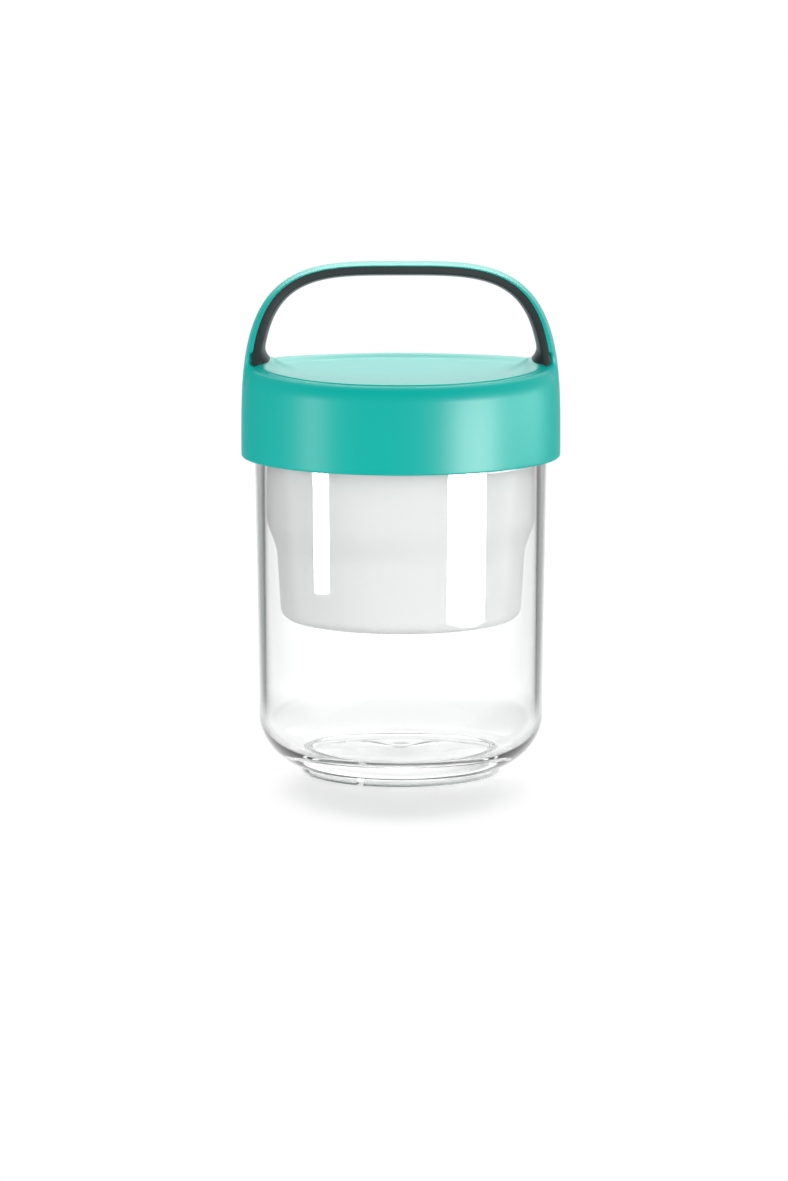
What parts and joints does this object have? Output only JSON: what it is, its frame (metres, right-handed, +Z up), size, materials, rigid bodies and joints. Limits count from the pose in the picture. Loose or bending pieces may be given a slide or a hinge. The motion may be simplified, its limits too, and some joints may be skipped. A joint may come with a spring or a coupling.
{
  "type": "to-go jar",
  "caption": "Clear food jar with a milky hanging cup and a quick-turn lid that carries an arched soft-lined handle.",
  "frame": {"origin": "centre of the foot ring's underside, on the table", "axes": "+Z up along the jar's axis, X along the handle's span, -Y towards the front of the picture"},
  "size_m": [0.0998, 0.0998, 0.1604],
  "materials": {
    "clear_plastic": "clear, glossy",
    "milky_plastic": "milky, satin",
    "silicone": "matte",
    "white_plastic": "satin",
    "turquoise_plastic": "satin",
    "soft_grey": "soft, matte"
  },
  "bodies": {
    "jar": {"jar_body": "clear_plastic"},
    "cup": {"inner_cup": "milky_plastic", "cup_seal": "silicone"},
    "seal": {"lid_seal": "silicone"},
    "lid": {"lid_shell": "turquoise_plastic", "lid_liner": "white_plastic", "handle_grip": "soft_grey"}
  },
  "joints": [
    {"name": "cup_lift", "type": "slide", "parent": "jar", "child": "cup", "axis": [0, 0, 1], "range_m": [0, 0.075]},
    {"name": "lid_lift", "type": "slide", "parent": "cup", "child": "seal", "axis": [0, 0, 1], "range_m": [0, 0.04]},
    {"name": "lid_turn", "type": "hinge", "parent": "seal", "child": "lid", "pos_m": [0, 0, 0.12], "axis": [0, 0, -1], "range_deg": [0, 42]}
  ]
}
